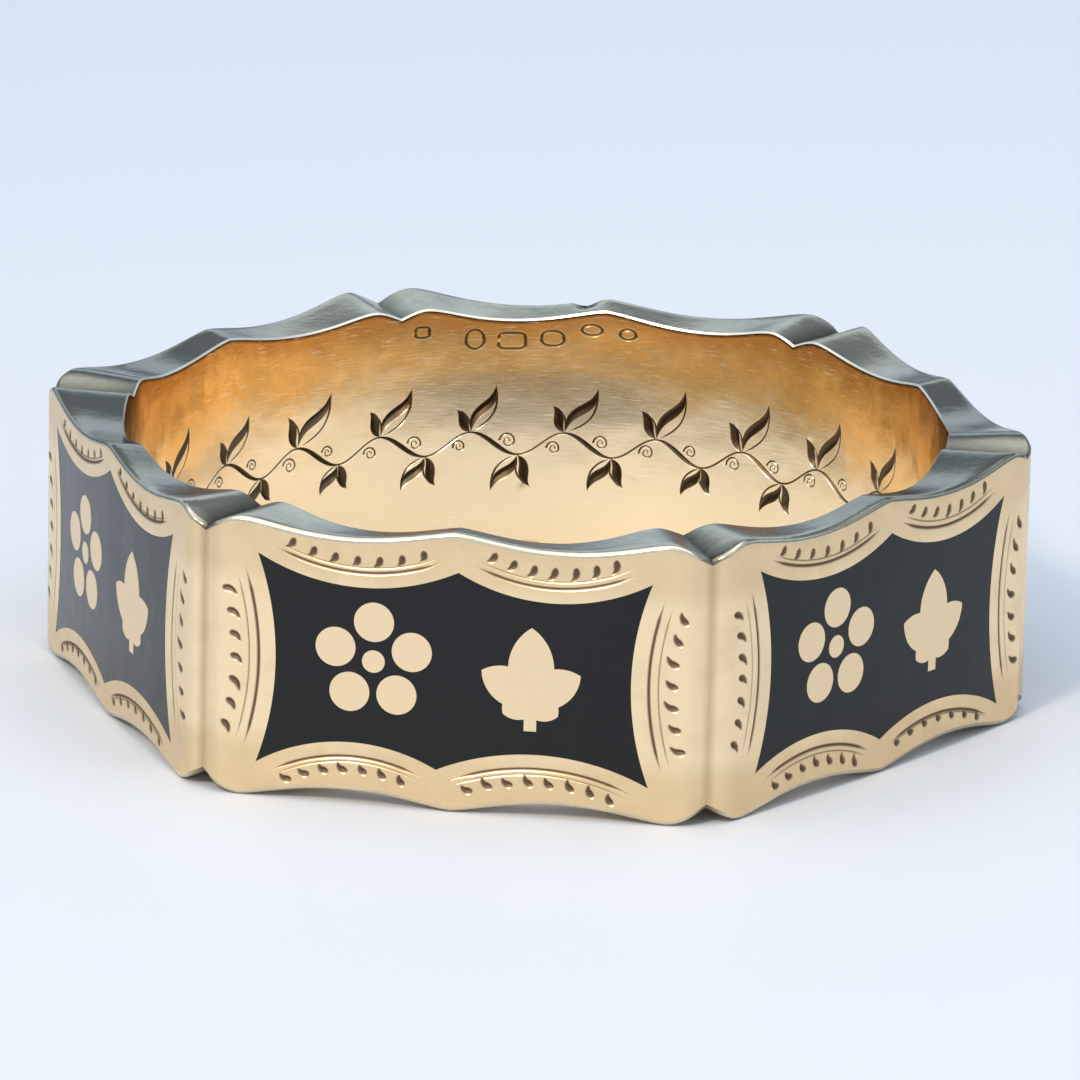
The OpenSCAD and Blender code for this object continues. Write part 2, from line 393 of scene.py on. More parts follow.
def drawn(tree, points, rows, known):
    """A graver's stroke: steps from "f", the way along it, give its points and half width."""
    line = add(tree, "GeometryNodeCurvePrimitiveLine")
    fine = add(tree, "GeometryNodeResampleCurve", {"Curve": line.outputs[0], "Count": points})
    known["f"] = add(tree, "GeometryNodeSplineParameter").outputs["Factor"]
    work_out(tree, [*rows, ("spot", "POINT", "x", "y")], known)
    laid = add(tree, "GeometryNodeSetPosition", {"Geometry": fine.outputs[0], "Position": known["spot"]})
    return add(tree, "GeometryNodeStoreNamedAttribute", {
        "Geometry": laid.outputs[0], "Name": "half_width", "Value": known["half width"],
    }).outputs[0]


def repeated(tree, count, stroke, rows, known):
    """A stroke set again and again: steps from "n", its number, give place, turn and size of each."""
    row = add(tree, "GeometryNodeMeshLine", {"Count": count})
    known["n"] = add(tree, "GeometryNodeInputIndex").outputs[0]
    for name, seed in (("chance turn", 1.0), ("chance size", 2.0)):
        work_out(tree, [("own seed", "ADD", "Seed", seed)], known)
        feeds = {"Min": -1.0, "Max": 1.0, "Seed": known["own seed"]}
        known[name] = add(tree, "FunctionNodeRandomValue", feeds, data_type="FLOAT").outputs[1]
    work_out(tree, [
        *rows,
        ("spot", "POINT", "x", "y"),
        ("spin", "POINT", 0.0, 0.0, "turn"),
        ("grown", "POINT", "size", "size", 1.0),
    ], known)
    laid = add(tree, "GeometryNodeSetPosition", {"Geometry": row.outputs[0], "Position": known["spot"]})
    return add(tree, "GeometryNodeInstanceOnPoints", {
        "Points": laid.outputs[0], "Instance": stroke, "Rotation": known["spin"], "Scale": known["grown"],
    }).outputs[0]


def finished(tree, strokes):
    """Joins a tree's strokes and makes them plain lines of a mesh."""
    joined = add(tree, "GeometryNodeJoinGeometry")
    for stroke in strokes:
        tree.links.new(stroke, joined.inputs[0])
    real = add(tree, "GeometryNodeRealizeInstances", {"Geometry": joined.outputs[0]})
    lines = add(tree, "GeometryNodeCurveToMesh", {"Curve": real.outputs[0]})
    still = add(tree, "GeometryNodeRealizeInstances", {"Geometry": lines.outputs[0]})
    surfaced = add(tree, "GeometryNodeSetMaterial", {"Geometry": still.outputs[0], "Material": rim_gold})
    add(tree, "NodeGroupOutput", {"Geometry": surfaced.outputs[0]})


BORDER = {
    "Line inset": 0.31,
    "Line half width": 0.05,
    "Second inset": 0.5,
    "Second half width": 0.026,
    "Nick inset": 0.86,
    "Nick length": 0.32,
    "Nick half width": 0.11,
    "Nick bow": 0.05,
    "Nick slant": 0.95,
}
END_BORDER = {"Line inset": 0.36, "Second inset": 0.56, "Nick inset": 0.92, "Nick slant": 0.75}
NICK_PITCH, END_PITCH = 0.46, 0.52
# how much of a lobe's arc the lines and the row of nicks take up
LINE_SHARE, NICK_SHARE = 0.9, 0.86
# the gold that stays whole between a cut and a rim's edge
EDGE_SPARE = 0.03

border_tree, known = new_tree("border_cuts", [*BORDER, "Chord", "Rise", "Count", "Seed"])
work_out(border_tree, [
    ("half chord", "MULTIPLY", "Chord", 0.5),
    ("chord sq", "MULTIPLY", "half chord", "half chord"),
    ("lobe sq", "MULTIPLY_ADD", "Rise", "Rise", "chord sq"),
    ("lobe two r", "DIVIDE", "lobe sq", "Rise"),
    ("lobe r", "MULTIPLY", "lobe two r", 0.5),
    ("to middle", "SUBTRACT", "lobe r", "Rise"),
    ("sine of reach", "DIVIDE", "half chord", "lobe r"),
    ("reach", "ARCSINE", "sine of reach"),
], known)
lines = [
    drawn(border_tree, 33, [
        ("line r", "SUBTRACT", "lobe r", inset),
        ("from middle", "MULTIPLY_ADD", "f", 2 * LINE_SHARE, -LINE_SHARE),
        ("line turn", "MULTIPLY", "from middle", "reach"),
        ("line sin", "SINE", "line turn"),
        ("line cos", "COSINE", "line turn"),
        ("x", "MULTIPLY", "line r", "line sin"),
        ("up", "MULTIPLY", "line r", "line cos"),
        ("y", "SUBTRACT", "up", "to middle"),
        ("f left", "SUBTRACT", 1.0, "f"),
        ("f both", "MULTIPLY", "f", "f left"),
        # the graver sinks in quickly, and comes out so
        ("swell", "MULTIPLY", "f both", 9.0),
        ("swell top", "MINIMUM", "swell", 1.0),
        ("half width", "MULTIPLY", "swell top", half_width),
    ], known)
    for inset, half_width in (("Line inset", "Line half width"), ("Second inset", "Second half width"))
]
nick = drawn(border_tree, 9, [
    ("x", "MULTIPLY", "f", "Nick length"),
    ("f turn", "MULTIPLY", "f", math.pi),
    ("f sin", "SINE", "f turn"),
    ("y", "MULTIPLY", "f sin", "Nick bow"),
    ("f left", "SUBTRACT", 1.0, "f"),
    # it bites at once, and thins out along the nick
    ("fade", "POWER", "f left", 0.55),
    ("bite", "MULTIPLY_ADD", "f", 2.0, 0.6),
    ("bite top", "MINIMUM", "bite", 1.0),
    ("shape", "MULTIPLY", "bite top", "fade"),
    ("half width", "MULTIPLY", "shape", "Nick half width"),
], known)
nicks = repeated(border_tree, known["Count"], nick, [
    ("n mid", "ADD", "n", 0.5),
    ("n part", "DIVIDE", "n mid", "Count"),
    ("n off", "MULTIPLY_ADD", "n part", 2 * NICK_SHARE, -NICK_SHARE),
    ("n turn", "MULTIPLY", "n off", "reach"),
    ("nick r", "SUBTRACT", "lobe r", "Nick inset"),
    ("n sin", "SINE", "n turn"),
    ("n cos", "COSINE", "n turn"),
    ("x", "MULTIPLY", "nick r", "n sin"),
    ("n up", "MULTIPLY", "nick r", "n cos"),
    ("y", "SUBTRACT", "n up", "to middle"),
    # each turns with the arc, and strays a little in slant and size
    ("lean", "SUBTRACT", "Nick slant", "n turn"),
    ("turn", "MULTIPLY_ADD", "chance turn", 0.16, "lean"),
    ("size", "MULTIPLY_ADD", "chance size", 0.14, 0.95),
], known)
finished(border_tree, [*lines, nicks])


def strokes_of(mesh):
    """The strokes that a tree drew, each as its flat points and half widths, in millimetres."""
    points = points_of(mesh)[:, :2] / MM
    widths = np.empty(len(points), dtype=np.float32)
    mesh.attributes["half_width"].data.foreach_get("value", widths)
    ends = np.empty(2 * len(mesh.edges), dtype=np.int32)
    mesh.edges.foreach_get("vertices", ends)
    tied = set(map(tuple, np.sort(ends.reshape(-1, 2), axis=1)))
    breaks = [i + 1 for i in range(len(points) - 1) if (i, i + 1) not in tied]
    return list(zip(np.split(points, breaks), np.split(widths.astype(float) / MM, breaks)))


# THE BAND: THE CUTS IN ITS HOLE. At the back of the hole runs an engraved vine of swelling,
# slanted strokes: a waving stem, pointed leaves on both its sides, and curled tendrils.
VINE = {
    "Length": 20.4,
    "Wave length": 2.1,
    "Wave height": 0.26,
    "Stem half width": 0.034,
    "Leaf length": 1.3,
    "Leaf half width": 0.12,
    "Leaf bow": 0.09,
    "Leaf fullness": 0.26,
    "Tendril radius": 0.17,
    "Slant": 1.02,
}
# how far to the left of the hole's back the vine starts, and the height of its stem
VINE_LEFT, VINE_HEIGHT = 11.9, 2.75
# a punch's half width, and the part of its turn, in radians, that stays open at each end
STAMP_LINE, STAMP_GAP = 0.048, 0.06
# Worn, blank punch marks below the upper rim: degrees round, height, width, height of the
# outline, and the power that makes it an oval (1) or squarer (below 1)
BLANK_STAMPS = [
    (116.8, 5.37, 0.32, 0.24, 0.5),
    (109.0, 5.17, 0.41, 0.44, 1.0),
    (103.6, 5.13, 0.6, 0.36, 0.45),
    (97.7, 5.2, 0.5, 0.34, 0.8),
    (92.0, 5.43, 0.46, 0.24, 1.0),
    (86.7, 5.38, 0.36, 0.24, 1.0),
]

vine_tree, known = new_tree("vine_cuts", [*VINE, "Seed"])
work_out(vine_tree, [
    ("half wave", "MULTIPLY", "Wave length", 0.5),
    ("halves", "DIVIDE", "Length", "half wave"),
    ("leaves", "FLOOR", "halves"),
], known)
stem = drawn(vine_tree, 260, [
    ("x", "MULTIPLY", "f", "Length"),
    ("waves", "DIVIDE", "x", "Wave length"),
    ("phase", "MULTIPLY", "waves", 2 * math.pi),
    ("swing", "SINE", "phase"),
    ("y", "MULTIPLY", "swing", "Wave height"),
    ("fall", "COSINE", "phase"),
    ("down", "MULTIPLY", "fall", -1.0),
    ("press", "MAXIMUM", "down", 0.0),
    ("heavy", "MULTIPLY_ADD", "press", 1.1, 0.8),
    ("half width", "MULTIPLY", "heavy", "Stem half width"),
], known)
blade = drawn(vine_tree, 15, [
    ("x", "MULTIPLY", "f", "Leaf length"),
    ("f turn", "MULTIPLY", "f", 2 * math.pi),
    ("f sin", "SINE", "f turn"),
    ("y", "MULTIPLY", "f sin", "Leaf bow"),
    ("f left", "SUBTRACT", 1.0, "f"),
    ("f both", "MULTIPLY", "f", "f left"),
    ("belly", "MULTIPLY", "f both", 4.0),
    ("press", "POWER", "belly", 1.2),
    ("half width", "MULTIPLY", "press", "Leaf half width"),
], known)
loop = drawn(vine_tree, 13, [
    ("x", "MULTIPLY", "f", "Leaf length"),
    ("f turn", "MULTIPLY", "f", math.pi),
    ("f sin", "SINE", "f turn"),
    ("f side", "MULTIPLY", "f sin", "Leaf fullness"),
    ("y", "MULTIPLY", "f side", -1.0),
    ("f left", "SUBTRACT", 1.0, "f"),
    ("f both", "MULTIPLY", "f", "f left"),
    ("swell", "MULTIPLY", "f both", 5.0),
    ("swell top", "MINIMUM", "swell", 0.8),
    ("half width", "MULTIPLY", "swell top", "Stem half width"),
], known)
tendril = drawn(vine_tree, 22, [
    ("f turn", "MULTIPLY", "f", 3.1 * math.pi),
    ("f in", "MULTIPLY_ADD", "f", -0.85, 1.0),
    ("curl", "MULTIPLY", "Tendril radius", "f in"),
    ("curl cos", "COSINE", "f turn"),
    ("curl sin", "SINE", "f turn"),
    ("curl x", "MULTIPLY", "curl", "curl cos"),
    ("x", "SUBTRACT", "Tendril radius", "curl x"),
    ("y", "MULTIPLY", "curl", "curl sin"),
    ("swell", "MULTIPLY_ADD", "f", -0.35, 0.85),
    ("half width", "MULTIPLY", "swell", "Stem half width"),
], known)
leaf = add(vine_tree, "GeometryNodeJoinGeometry")
for stroke in (blade, loop):
    vine_tree.links.new(stroke, leaf.inputs[0])
# the leaf and the leaflet beside it: turn from the leaf's, how far that strays, the size above
# the stem, what is added below it, and how far the size strays
LEAF_ROWS = [(0.0, 0.1, 1.05, -0.35, 0.1), (1.0, 0.12, 0.55, 0.0, 0.08)]
leaves = [
    repeated(vine_tree, known["leaves"], leaf.outputs[0], [
        ("n mid", "ADD", "n", 0.5),
        ("x", "MULTIPLY", "n mid", "half wave"),
        ("odd", "MODULO", "n", 2.0),
        ("sign", "MULTIPLY_ADD", "odd", -2.0, 1.0),
        ("y", "MULTIPLY", "sign", "Wave height"),
        ("over", "MULTIPLY_ADD", "odd", math.pi, "Slant"),
        ("lean", "ADD", "over", aside),
        ("turn", "MULTIPLY_ADD", "chance turn", sway, "lean"),
        ("whole", "MULTIPLY_ADD", "odd", below, above),
        ("size", "MULTIPLY_ADD", "chance size", stray, "whole"),
    ], known)
    for aside, sway, above, below, stray in LEAF_ROWS
]
tendrils = repeated(vine_tree, known["leaves"], tendril, [
    ("x", "MULTIPLY_ADD", "n", "half wave", 0.12 * MM),
    ("odd", "MODULO", "n", 2.0),
    ("y", "MULTIPLY_ADD", "odd", 0.16 * MM, -0.08 * MM),
    ("turn", "MULTIPLY", "chance turn", 0.2),
    ("size", "MULTIPLY_ADD", "chance size", 0.15, 1.0),
], known)
finished(vine_tree, [stem, *leaves, tendrils])

# THE BAND: CUT AND PUT TOGETHER. The form's rims are kept as they are. Between them the six
# sides and the hole are knitted from flat drawings that hold every outline: the sunk cells,
# the gold left standing in them, and each graver's stroke with its deepest line.
FIELD = {"half width": 4.1, "half height": 2.2, "lobe rise": 0.52, "end rise": 0.4, "cell depth": 0.4}
MID_HEIGHT = 3.0
# How each hand-cut field strays from the even one, counterclockwise from the front side:
# top left, top middle, top right, low left, low middle, low right, top mid x, low mid x
FIELD_STRAYS = [
    (0.05, -0.05, -0.05, -0.05, 0.10, 0.00, 0.10, -0.30),
    (0.05, 0.00, -0.05, 0.10, -0.05, -0.25, 0.10, -0.10),
    (-0.05, 0.05, 0.00, 0.00, 0.05, -0.05, -0.10, 0.10),
    (0.00, -0.05, 0.05, 0.05, -0.05, 0.00, 0.15, 0.05),
    (0.05, 0.05, -0.05, -0.05, 0.00, 0.05, -0.05, -0.15),
    (0.05, 0.25, -0.05, -0.20, -0.15, -0.20, 0.15, -0.15),
]
MOTIF = {
    "x": 1.64, "rise": 0.12, "petal r": 0.42, "petal ring": 0.84, "eye r": 0.24,
    "leaf": 1.75, "leaf width": 0.95, "leaf sink": 0.55, "root sink": 0.25,
    "stalk": 0.7, "stalk width": 0.26, "stalk top": 0.4,
}
# length and width as parts of the middle lobe's, and the turn from upright, on both hands
LEAF_LOBES = [(1.0, 1.0, 0), (0.8, 0.85, 62), (0.8, 0.85, -62), (0.52, 0.7, 122), (0.52, 0.7, -122)]


def arc_radius(chord, rise):
    """The radius of the arc over a chord that rises this far above it."""
    return (chord * chord / 4 + rise * rise) / (2 * rise)


def turned(points, degrees):
    """Flat points turned counterclockwise about the origin."""
    c, s = math.cos(math.radians(degrees)), math.sin(math.radians(degrees))
    return np.asarray(points) @ np.array([[c, s], [-s, c]])


def ring(centre, radius, count):
    """Points evenly round a circle."""
    turns = np.arange(count) / count * 2 * math.pi
    return np.stack([np.cos(turns), np.sin(turns)], 1) * radius + centre


def lobe_edge(start, end, rise, step=0.08):
    """Points along the arc from start to end that swells to the right of the way, without the end."""
    way = end - start
    chord = np.hypot(*way)
    radius = arc_radius(chord, rise)
    left = np.array([-way[1], way[0]]) / chord
    centre = (start + end) / 2 + left * (radius - rise)
    reach = math.asin(chord / 2 / radius)
    count = int(round(2 * reach * radius / step))
    turns = np.linspace(-reach, reach, count + 1)[:-1]
    return centre + radius * (np.sin(turns)[:, None] * way / chord - np.cos(turns)[:, None] * left)


def leaf_lobe(length, width, turn):
    """A pointed lobe between two arcs, whose root lies a little below the point where all meet."""
    radius = arc_radius(length, width / 2)
    ways = np.linspace(-length / 2, length / 2, 25)
    side = np.sqrt(radius**2 - ways**2) - (radius - width / 2)
    half = np.stack([side, ways], 1)
    points = np.vstack([half, (half * [-1, 1])[::-1][1:-1]])
    return turned(points + [0, length / 2 - MOTIF["leaf width"] * MOTIF["root sink"]], turn)


def inside(points, outline):
    """Which points lie inside a closed outline."""
    x, y = points[:, 0][:, None], points[:, 1][:, None]
    a, b = outline, np.roll(outline, -1, axis=0)
    crossed = (a[:, 1] > y) != (b[:, 1] > y)
    rise = np.where(b[:, 1] == a[:, 1], 1.0, b[:, 1] - a[:, 1])
    at = (b[:, 0] - a[:, 0]) * (y - a[:, 1]) / rise + a[:, 0]
    return (crossed & (x < at)).sum(axis=1) % 2 == 1


# half widths below which a stroke ends in a point, and depths below which nothing is cut
TIP, LEAST_CUT = 0.006, 0.003


class Drawing:
    """A flat drawing in millimetres: points, and the lines between them that the mesh keeps."""

    def __init__(self):
        self.points, self.lines, self.strokes = [], [], []

    def line(self, points, closed=False):
        first = len(self.points)
        self.points.extend(map(tuple, points))
        count = len(points)
        self.lines.extend((first + i, first + i + 1) for i in range(count - 1))
        if closed:
            self.lines.append((first + count - 1, first))

    def stroke(self, points, widths, steep=0.85):
        """A V-shaped cut between two edges, its depth its half width at each point times steep."""
        points, widths = np.asarray(points, float), np.asarray(widths, float)
        ways = np.gradient(points, axis=0)
        steps = np.linalg.norm(ways, axis=1)
        ways /= steps[:, None]
        # where the round point that cuts it grows along the way, its edge trails behind its middle
        growth = (np.gradient(widths) / steps).clip(-0.9, 0.9)
        behind = -ways * (widths * growth)[:, None]
        sides = np.stack([-ways[:, 1], ways[:, 0]], 1) * (widths * np.sqrt(1 - growth**2))[:, None]
        blunt = widths[0] > TIP, widths[-1] > TIP
        head = points[0] - ways[0] * widths[0] * blunt[0]
        tail = points[-1] + ways[-1] * widths[-1] * blunt[1]
        body = slice(None if blunt[0] else 1, None if blunt[1] else -1)
        left, right = (points + behind + sides)[body], (points + behind - sides)[body]
        self.line(np.vstack([head, left, tail, right[::-1]]), closed=True)
        self.line(np.vstack([head, points[body], tail]))
        self.strokes.append((points, widths, steep))

    def knit(self):
        """Triangles that keep every line, and the depth of the cuts at each of their points."""
        spots = [Vector(p) for p in self.points]
        verts, _, faces, *_ = delaunay_2d_cdt(spots, self.lines, [], 0, 1e-5, False)
        verts = np.array([v[:] for v in verts])
        depth = np.zeros(len(verts))
        for points, widths, steep in self.strokes:
            reach = widths.max()
            low, high = points.min(axis=0) - reach, points.max(axis=0) + reach
            near = np.where(((verts >= low) & (verts <= high)).all(axis=1))[0]
            a, way = points[:-1], np.diff(points, axis=0)
            off = verts[near][:, None] - a
            along = np.clip((off * way).sum(axis=2) / (way * way).sum(axis=1), 0, 1)
            far = np.linalg.norm(off - along[:, :, None] * way, axis=2)
            deep = ((widths[:-1] + along * np.diff(widths) - far) * steep).max(axis=1)
            depth[near] = np.maximum(depth[near], np.where(deep > LEAST_CUT, deep, 0))
        return verts, np.array([f[:] for f in faces]), depth


# the band's finishes, in the order of its material slots
RIM, BEVEL, SIDE, MOTIF_TOP, HOLE = range(5)
pile = {"verts": [], "faces": [], "finish": [], "cut_depth": [], "from_rim": []}


def heap(verts, faces, finish, cut_depth=0.0, from_rim=0.0):
    """Adds a part of the band: points in millimetres, triangles, their finish, and two measures."""
    first = sum(len(v) for v in pile["verts"])
    pile["verts"].append(verts)
    pile["faces"].append(np.asarray(faces) + first)
    pile["finish"].append(np.broadcast_to(finish, len(faces)))
    pile["cut_depth"].append(np.broadcast_to(cut_depth, len(verts)))
    pile["from_rim"].append(np.broadcast_to(from_rim, len(verts)))


for rim in rims.values():
    index = np.arange(ROWS * (6 * PER_SIDE + 1)).reshape(ROWS, -1)
    here, there = index[:-1, :-1].ravel(), index[1:, 1:].ravel()
    outward, onward = index[1:, :-1].ravel(), index[:-1, 1:].ravel()
    halves = [np.stack([here, outward, there], 1), np.stack([here, there, onward], 1)]
    finish = np.where(here < 6 * PER_SIDE, BEVEL, RIM)
    heap(rim.reshape(-1, 3), np.vstack(halves), np.tile(finish, 2))

CELL_FLOOR = FORM["Side length"] / 2 / math.tan(SIXTH / 2) + FORM["Swell"] - FIELD["cell depth"]
# rows of points up a side and up the hole, their ends included; the sides' columns are closer
# beyond this distance from the middle, where the corners are worn round
SIDE_ROWS, HOLE_ROWS, ROUND_FROM = 25, 23, 4.85
# the enamel is stoned a hair below the gold, and lies a hair above its cell's floor
ENAMEL_BELOW, ENAMEL_ABOVE = 0.006, 0.002


def sheet_edge(top, low, rows):
    """The closed outline of a sheet between two rims' points, with this many points up each end."""
    ends = [np.linspace(low[i, 1], top[i, 1], rows)[1:-1] for i in (-1, 0)]
    return np.vstack([
        low,
        np.stack([np.full(rows - 2, low[-1, 0]), ends[0]], 1),
        top[::-1],
        np.stack([np.full(rows - 2, low[0, 0]), ends[1][::-1]], 1),
    ])


def between(points, top, low):
    """Which points lie above the lower rim and below the upper one."""
    x, y = points[:, 0], points[:, 1]
    return (y < np.interp(x, top[:, 0], top[:, 1])) & (y > np.interp(x, low[:, 0], low[:, 1]))


enamel_parts = []
for side, strays in enumerate(FIELD_STRAYS):
    # the side seen square on: x along it, y up; its rims' outer edges close the drawing
    part = slice(side * PER_SIDE, (side + 1) * PER_SIDE + 1)
    turn = -side * SIXTH
    spin = np.array(Matrix.Rotation(turn, 3, "Z"))
    whole_top, whole_low = (rims[which][-1, part] @ spin.T for which in ("upper", "lower"))
    top, low = whole_top[:, [0, 2]], whole_low[:, [0, 2]]
    sheet = Drawing()
    sheet.line(sheet_edge(top, low, SIDE_ROWS), closed=True)
    for i in range(1, PER_SIDE):
        if i % 2 == 0 or abs(low[i, 0]) > ROUND_FROM:
            rows = np.linspace(low[i, 1], top[i, 1], SIDE_ROWS)[1:-1]
            sheet.points.extend((low[i, 0], z) for z in rows)

    # its field: six points, joined by the edges of the lobes of gold
    high_z, low_z = MID_HEIGHT + FIELD["half height"], MID_HEIGHT - FIELD["half height"]
    wide = FIELD["half width"]
    knots = [np.array(p) for p in (
        (-wide, high_z + strays[0]), (strays[6], high_z + strays[1]), (wide, high_z + strays[2]),
        (wide, low_z + strays[5]), (strays[7], low_z + strays[4]), (-wide, low_z + strays[3]),
    )]
    rises = [FIELD["end rise"] if n in (2, 5) else FIELD["lobe rise"] for n in range(6)]
    outline = np.vstack([lobe_edge(knots[n], knots[(n + 1) % 6], rises[n]) for n in range(6)])
    sheet.line(outline, closed=True)

    # the gold left standing: a flower of five round petals about its eye, and an ivy leaf
    flower_at = np.array([-MOTIF["x"], MID_HEIGHT + MOTIF["rise"]])
    leaf_at = np.array([MOTIF["x"], MID_HEIGHT + MOTIF["rise"] - MOTIF["leaf sink"]])
    standing = [ring(flower_at, MOTIF["eye r"], 32)]
    for n in range(5):
        standing.append(ring(flower_at + turned([0, MOTIF["petal ring"]], n * 72), MOTIF["petal r"], 48))
    for length, width, degrees in LEAF_LOBES:
        standing.append(leaf_at + leaf_lobe(MOTIF["leaf"] * length, MOTIF["leaf width"] * width, degrees))
    half, foot, head = MOTIF["stalk width"] / 2, -MOTIF["stalk"], MOTIF["stalk top"]
    standing.append(leaf_at + np.array([[-half, foot], [half, foot], [half, head], [-half, head]]))
    for shape in standing:
        sheet.line(shape, closed=True)

    # the engraved border of each lobe
    for n in range(6):
        start, end = knots[n], knots[(n + 1) % 6]
        way = start - end
        chord = float(np.hypot(*way))
        at_end = n in (2, 5)
        count = int(chord * NICK_SHARE / (END_PITCH if at_end else NICK_PITCH))
        values = {**BORDER, **(END_BORDER if at_end else {}), "Chord": chord, "Rise": rises[n]}
        values.update(Count=count, Seed=10 * side + n)
        if n in (3, 4):
            values["Nick slant"] = math.pi - values["Nick slant"]
        ex = way / chord
        ey = np.array([-ex[1], ex[0]])
        # the row of nicks moves in towards the field until it clears the rims' rounded edges
        for _ in range(15):
            cuts = [((start + end) / 2 + points[:, :1] * ex + points[:, 1:] * ey, widths)
                    for points, widths in strokes_of(grow(border_tree, values))]
            spare = min(
                min((np.interp(points[:, 0], *top.T) - points[:, 1] - widths).min(),
                    (points[:, 1] - widths - np.interp(points[:, 0], *low.T)).min())
                for points, widths in cuts)
            if spare > EDGE_SPARE:
                break
            values["Nick inset"] -= EDGE_SPARE
            values["Nick length"] -= EDGE_SPARE / 3
            values["Second inset"] -= EDGE_SPARE / 3
        for points, widths in cuts:
            sheet.stroke(points, widths, steep=0.6)

    flat_points, faces, depth = sheet.knit()
    mid = flat_points[faces].mean(axis=1)
    on_side = between(mid, top, low)
    faces, mid = faces[on_side], mid[on_side]
    raised = np.any([inside(mid, shape) for shape in standing], axis=0)
    sunk = inside(mid, outline) & ~raised
    out = np.interp(flat_points[:, 0], whole_top[:, 0], -whole_top[:, 1])

    def placed(distance):
        """The drawing's points on this side, at a distance from the axis."""
        away = np.broadcast_to(distance, out.shape)
        return np.stack([flat_points[:, 0], -away, flat_points[:, 1]], 1) @ spin

    surface, floor_points = placed(out - depth), placed(CELL_FLOOR)
    ways = np.vstack([faces[sunk][:, [0, 1]], faces[sunk][:, [1, 2]], faces[sunk][:, [2, 0]]])
    both = {tuple(w) for w in ways.tolist()}
    rimmed = np.array([w for w in ways.tolist() if (w[1], w[0]) not in both])
    a, b, past = rimmed[:, 0], rimmed[:, 1], len(flat_points)
    walls = np.vstack([np.stack([a, b, b + past], 1), np.stack([a, b + past, a + past], 1)])
    heap(surface, faces[~sunk], np.where(raised[~sunk], MOTIF_TOP, SIDE), depth)
    heap(floor_points, faces[sunk], SIDE)
    heap(np.vstack([surface, floor_points]), walls, SIDE, np.concatenate([depth, 0 * depth]))
    enamel_parts.append((faces[sunk], walls, placed(out - ENAMEL_BELOW), placed(CELL_FLOOR + ENAMEL_ABOVE)))

# the hole, unrolled: x is the way round from the front left corner, y the height
mouth = rims["upper"][0]
angles = np.unwrap(np.arctan2(mouth[:, 1], mouth[:, 0]))
angles += math.radians(-120) - angles[0]
hole_r = FORM["Hole radius"]
round_way = (angles - angles[0]) * hole_r
top, low = (np.stack([round_way, rims[which][0, :, 2]], 1) for which in ("upper", "lower"))
sheet = Drawing()
sheet.line(sheet_edge(top, low, SIDE_ROWS), closed=True)
for i in range(2, 6 * PER_SIDE, 2):
    rows = np.linspace(low[i, 1], top[i, 1], HOLE_ROWS)[1:-1]
    sheet.points.extend((round_way[i], z) for z in rows)
BACK = (math.radians(90) - angles[0]) * hole_r
for points, widths in strokes_of(grow(vine_tree, {**VINE, "Seed": 5})):
    sheet.stroke(points * (-1, 1) + (BACK + VINE_LEFT, VINE_HEIGHT), widths)
for degrees, height, stamp_w, stamp_h, corner in BLANK_STAMPS:
    # a rounded outline struck with a punch, open by a hair where the stroke starts and ends
    turns = np.linspace(STAMP_GAP, 2 * math.pi - STAMP_GAP, 37)
    around = np.stack([np.cos(turns), np.sin(turns)], 1)
    around = np.sign(around) * np.abs(around) ** corner * [stamp_w / 2, stamp_h / 2]
    middle = [(math.radians(degrees) - angles[0]) * hole_r, height]
    sheet.stroke(around + middle, np.full(len(around), STAMP_LINE), steep=0.45)
flat_points, faces, depth = sheet.knit()
mid = flat_points[faces].mean(axis=1)
on_hole = between(mid, top, low)
turns = flat_points[:, 0] / hole_r + angles[0]
reach = hole_r + depth
from_rim = np.interp(flat_points[:, 0], *top.T) - flat_points[:, 1]
wall = np.stack([np.cos(turns) * reach, np.sin(turns) * reach, flat_points[:, 1]], 1)
heap(wall, faces[on_hole], HOLE, depth, from_rim.clip(0))


# points closer than this are one, in millimetres; folds sharper than this stay crisp
MERGE, CRISP = 0.0003, math.radians(21)


def solid(name, verts, faces, finish=None, measures=None):
    """One closed piece from points in millimetres, its doubles merged and its faces outward."""
    mesh = bpy.data.meshes.new(name)
    mesh.from_pydata((verts * MM).tolist(), [], faces.tolist())
    if finish is not None:
        mesh.polygons.foreach_set("material_index", finish)
    for measure, values in (measures or {}).items():
        mesh.attributes.new(measure, "FLOAT", "POINT").data.foreach_set("value", values)
    shell = bmesh.new()
    shell.from_mesh(mesh)
    bmesh.ops.remove_doubles(shell, verts=shell.verts, dist=MERGE * MM)
    bmesh.ops.delete(shell, geom=[v for v in shell.verts if not v.link_faces], context="VERTS")
    bmesh.ops.recalc_face_normals(shell, faces=shell.faces)
    shell.to_mesh(mesh)
    shell.free()
    mesh.shade_smooth()
    mesh.set_sharp_from_angle(angle=CRISP)
    piece = bpy.data.objects.new(name, mesh)
    scene.collection.objects.link(piece)
    return piece
